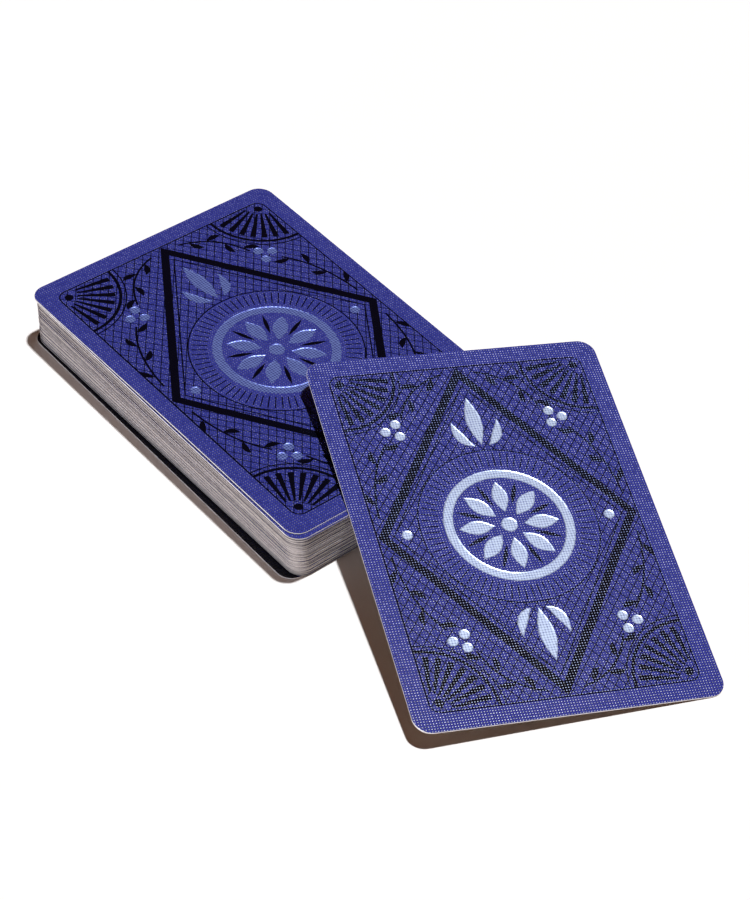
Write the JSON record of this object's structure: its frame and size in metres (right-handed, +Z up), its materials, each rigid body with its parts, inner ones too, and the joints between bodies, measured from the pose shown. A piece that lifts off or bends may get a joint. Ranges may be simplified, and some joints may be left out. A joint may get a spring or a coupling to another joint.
{
  "type": "playing card deck",
  "caption": "Pack of poker-size playing cards: a squared face-down pile of separate cards, each of which can be drawn out, and one card leaning on its near edge.",
  "frame": {"origin": "middle of the pile's underside, where it meets the table", "axes": "+Z up, +Y along the cards away from the leaning card, +X across the cards"},
  "size_m": [0.0922, 0.1608, 0.0182],
  "materials": {
    "card_back": "satin linen",
    "card_stock": "bare cut edge"
  },
  "bodies": {
    "bottom_card": {"bottom_card": "card_stock"},
    "card_02": {"card_02": "card_stock"},
    "card_03": {"card_03": "card_stock"},
    "card_04": {"card_04": "card_stock"},
    "card_05": {"card_05": "card_stock"},
    "card_06": {"card_06": "card_stock"},
    "card_07": {"card_07": "card_stock"},
    "card_08": {"card_08": "card_stock"},
    "card_09": {"card_09": "card_stock"},
    "card_10": {"card_10": "card_stock"},
    "card_11": {"card_11": "card_stock"},
    "card_12": {"card_12": "card_stock"},
    "card_13": {"card_13": "card_stock"},
    "card_14": {"card_14": "card_stock"},
    "card_15": {"card_15": "card_stock"},
    "card_16": {"card_16": "card_stock"},
    "card_17": {"card_17": "card_stock"},
    "card_18": {"card_18": "card_stock"},
    "card_19": {"card_19": "card_stock"},
    "card_20": {"card_20": "card_stock"},
    "card_21": {"card_21": "card_stock"},
    "card_22": {"card_22": "card_stock"},
    "card_23": {"card_23": "card_stock"},
    "card_24": {"card_24": "card_stock"},
    "card_25": {"card_25": "card_stock"},
    "card_26": {"card_26": "card_stock"},
    "card_27": {"card_27": "card_stock"},
    "card_28": {"card_28": "card_stock"},
    "card_29": {"card_29": "card_stock"},
    "card_30": {"card_30": "card_stock"},
    "card_31": {"card_31": "card_stock"},
    "card_32": {"card_32": "card_stock"},
    "card_33": {"card_33": "card_stock"},
    "card_34": {"card_34": "card_stock"},
    "card_35": {"card_35": "card_stock"},
    "card_36": {"card_36": "card_stock"},
    "card_37": {"card_37": "card_stock"},
    "card_38": {"card_38": "card_stock"},
    "card_39": {"card_39": "card_stock"},
    "card_40": {"card_40": "card_stock"},
    "card_41": {"card_41": "card_stock"},
    "card_42": {"card_42": "card_stock"},
    "card_43": {"card_43": "card_stock"},
    "card_44": {"card_44": "card_stock"},
    "card_45": {"card_45": "card_stock"},
    "card_46": {"card_46": "card_stock"},
    "card_47": {"card_47": "card_stock"},
    "card_48": {"card_48": "card_stock"},
    "card_49": {"card_49": "card_stock"},
    "card_50": {"card_50": "card_stock"},
    "top_card": {"top_card": "card_back"},
    "leaning_card": {"leaning_card": "card_back"}
  },
  "joints": [
    {"name": "leaning_card_turn", "type": "hinge", "parent": "bottom_card", "child": "leaning_card", "pos_m": [0.01621, -0.11518, 0.00013], "axis": [1, 0, 0], "range_deg": [0, 170.16]},
    {"name": "top_card_draw", "type": "slide", "parent": "bottom_card", "child": "top_card", "axis": [-1, 0, 0], "range_m": [-0.068, 0.068]},
    {"name": "card_50_draw", "type": "slide", "parent": "bottom_card", "child": "card_50", "axis": [-1, 0, 0], "range_m": [-0.068, 0.068]},
    {"name": "card_49_draw", "type": "slide", "parent": "bottom_card", "child": "card_49", "axis": [-1, 0, 0], "range_m": [-0.068, 0.068]},
    {"name": "card_48_draw", "type": "slide", "parent": "bottom_card", "child": "card_48", "axis": [-1, 0, 0], "range_m": [-0.068, 0.068]},
    {"name": "card_47_draw", "type": "slide", "parent": "bottom_card", "child": "card_47", "axis": [-1, 0, 0], "range_m": [-0.068, 0.068]},
    {"name": "card_46_draw", "type": "slide", "parent": "bottom_card", "child": "card_46", "axis": [-1, 0, 0], "range_m": [-0.068, 0.068]},
    {"name": "card_45_draw", "type": "slide", "parent": "bottom_card", "child": "card_45", "axis": [-1, 0, 0], "range_m": [-0.068, 0.068]},
    {"name": "card_44_draw", "type": "slide", "parent": "bottom_card", "child": "card_44", "axis": [-1, 0, 0], "range_m": [-0.068, 0.068]},
    {"name": "card_43_draw", "type": "slide", "parent": "bottom_card", "child": "card_43", "axis": [-1, 0, 0], "range_m": [-0.068, 0.068]},
    {"name": "card_42_draw", "type": "slide", "parent": "bottom_card", "child": "card_42", "axis": [-1, 0, 0], "range_m": [-0.068, 0.068]},
    {"name": "card_41_draw", "type": "slide", "parent": "bottom_card", "child": "card_41", "axis": [-1, 0, 0], "range_m": [-0.068, 0.068]},
    {"name": "card_40_draw", "type": "slide", "parent": "bottom_card", "child": "card_40", "axis": [-1, 0, 0], "range_m": [-0.068, 0.068]},
    {"name": "card_39_draw", "type": "slide", "parent": "bottom_card", "child": "card_39", "axis": [-1, 0, 0], "range_m": [-0.068, 0.068]},
    {"name": "card_38_draw", "type": "slide", "parent": "bottom_card", "child": "card_38", "axis": [-1, 0, 0], "range_m": [-0.068, 0.068]},
    {"name": "card_37_draw", "type": "slide", "parent": "bottom_card", "child": "card_37", "axis": [-1, 0, 0], "range_m": [-0.068, 0.068]},
    {"name": "card_36_draw", "type": "slide", "parent": "bottom_card", "child": "card_36", "axis": [-1, 0, 0], "range_m": [-0.068, 0.068]},
    {"name": "card_35_draw", "type": "slide", "parent": "bottom_card", "child": "card_35", "axis": [-1, 0, 0], "range_m": [-0.068, 0.068]},
    {"name": "card_34_draw", "type": "slide", "parent": "bottom_card", "child": "card_34", "axis": [-1, 0, 0], "range_m": [-0.068, 0.068]},
    {"name": "card_33_draw", "type": "slide", "parent": "bottom_card", "child": "card_33", "axis": [-1, 0, 0], "range_m": [-0.068, 0.068]},
    {"name": "card_32_draw", "type": "slide", "parent": "bottom_card", "child": "card_32", "axis": [-1, 0, 0], "range_m": [-0.068, 0.068]},
    {"name": "card_31_draw", "type": "slide", "parent": "bottom_card", "child": "card_31", "axis": [-1, 0, 0], "range_m": [-0.068, 0.068]},
    {"name": "card_30_draw", "type": "slide", "parent": "bottom_card", "child": "card_30", "axis": [-1, 0, 0], "range_m": [-0.068, 0.068]},
    {"name": "card_29_draw", "type": "slide", "parent": "bottom_card", "child": "card_29", "axis": [-1, 0, 0], "range_m": [-0.068, 0.068]},
    {"name": "card_28_draw", "type": "slide", "parent": "bottom_card", "child": "card_28", "axis": [-1, 0, 0], "range_m": [-0.068, 0.068]},
    {"name": "card_27_draw", "type": "slide", "parent": "bottom_card", "child": "card_27", "axis": [-1, 0, 0], "range_m": [-0.068, 0.068]},
    {"name": "card_26_draw", "type": "slide", "parent": "bottom_card", "child": "card_26", "axis": [-1, 0, 0], "range_m": [-0.068, 0.068]},
    {"name": "card_25_draw", "type": "slide", "parent": "bottom_card", "child": "card_25", "axis": [-1, 0, 0], "range_m": [-0.068, 0.068]},
    {"name": "card_24_draw", "type": "slide", "parent": "bottom_card", "child": "card_24", "axis": [-1, 0, 0], "range_m": [-0.068, 0.068]},
    {"name": "card_23_draw", "type": "slide", "parent": "bottom_card", "child": "card_23", "axis": [-1, 0, 0], "range_m": [-0.068, 0.068]},
    {"name": "card_22_draw", "type": "slide", "parent": "bottom_card", "child": "card_22", "axis": [-1, 0, 0], "range_m": [-0.068, 0.068]},
    {"name": "card_21_draw", "type": "slide", "parent": "bottom_card", "child": "card_21", "axis": [-1, 0, 0], "range_m": [-0.068, 0.068]},
    {"name": "card_20_draw", "type": "slide", "parent": "bottom_card", "child": "card_20", "axis": [-1, 0, 0], "range_m": [-0.068, 0.068]},
    {"name": "card_19_draw", "type": "slide", "parent": "bottom_card", "child": "card_19", "axis": [-1, 0, 0], "range_m": [-0.068, 0.068]},
    {"name": "card_18_draw", "type": "slide", "parent": "bottom_card", "child": "card_18", "axis": [-1, 0, 0], "range_m": [-0.068, 0.068]},
    {"name": "card_17_draw", "type": "slide", "parent": "bottom_card", "child": "card_17", "axis": [-1, 0, 0], "range_m": [-0.068, 0.068]},
    {"name": "card_16_draw", "type": "slide", "parent": "bottom_card", "child": "card_16", "axis": [-1, 0, 0], "range_m": [-0.068, 0.068]},
    {"name": "card_15_draw", "type": "slide", "parent": "bottom_card", "child": "card_15", "axis": [-1, 0, 0], "range_m": [-0.068, 0.068]},
    {"name": "card_14_draw", "type": "slide", "parent": "bottom_card", "child": "card_14", "axis": [-1, 0, 0], "range_m": [-0.068, 0.068]},
    {"name": "card_13_draw", "type": "slide", "parent": "bottom_card", "child": "card_13", "axis": [-1, 0, 0], "range_m": [-0.068, 0.068]},
    {"name": "card_12_draw", "type": "slide", "parent": "bottom_card", "child": "card_12", "axis": [-1, 0, 0], "range_m": [-0.068, 0.068]},
    {"name": "card_11_draw", "type": "slide", "parent": "bottom_card", "child": "card_11", "axis": [-1, 0, 0], "range_m": [-0.068, 0.068]},
    {"name": "card_10_draw", "type": "slide", "parent": "bottom_card", "child": "card_10", "axis": [-1, 0, 0], "range_m": [-0.068, 0.068]},
    {"name": "card_09_draw", "type": "slide", "parent": "bottom_card", "child": "card_09", "axis": [-1, 0, 0], "range_m": [-0.068, 0.068]},
    {"name": "card_08_draw", "type": "slide", "parent": "bottom_card", "child": "card_08", "axis": [-1, 0, 0], "range_m": [-0.068, 0.068]},
    {"name": "card_07_draw", "type": "slide", "parent": "bottom_card", "child": "card_07", "axis": [-1, 0, 0], "range_m": [-0.068, 0.068]},
    {"name": "card_06_draw", "type": "slide", "parent": "bottom_card", "child": "card_06", "axis": [-1, 0, 0], "range_m": [-0.068, 0.068]},
    {"name": "card_05_draw", "type": "slide", "parent": "bottom_card", "child": "card_05", "axis": [-1, 0, 0], "range_m": [-0.068, 0.068]},
    {"name": "card_04_draw", "type": "slide", "parent": "bottom_card", "child": "card_04", "axis": [-1, 0, 0], "range_m": [-0.068, 0.068]},
    {"name": "card_03_draw", "type": "slide", "parent": "bottom_card", "child": "card_03", "axis": [-1, 0, 0], "range_m": [-0.068, 0.068]},
    {"name": "card_02_draw", "type": "slide", "parent": "bottom_card", "child": "card_02", "axis": [-1, 0, 0], "range_m": [-0.068, 0.068]}
  ]
}
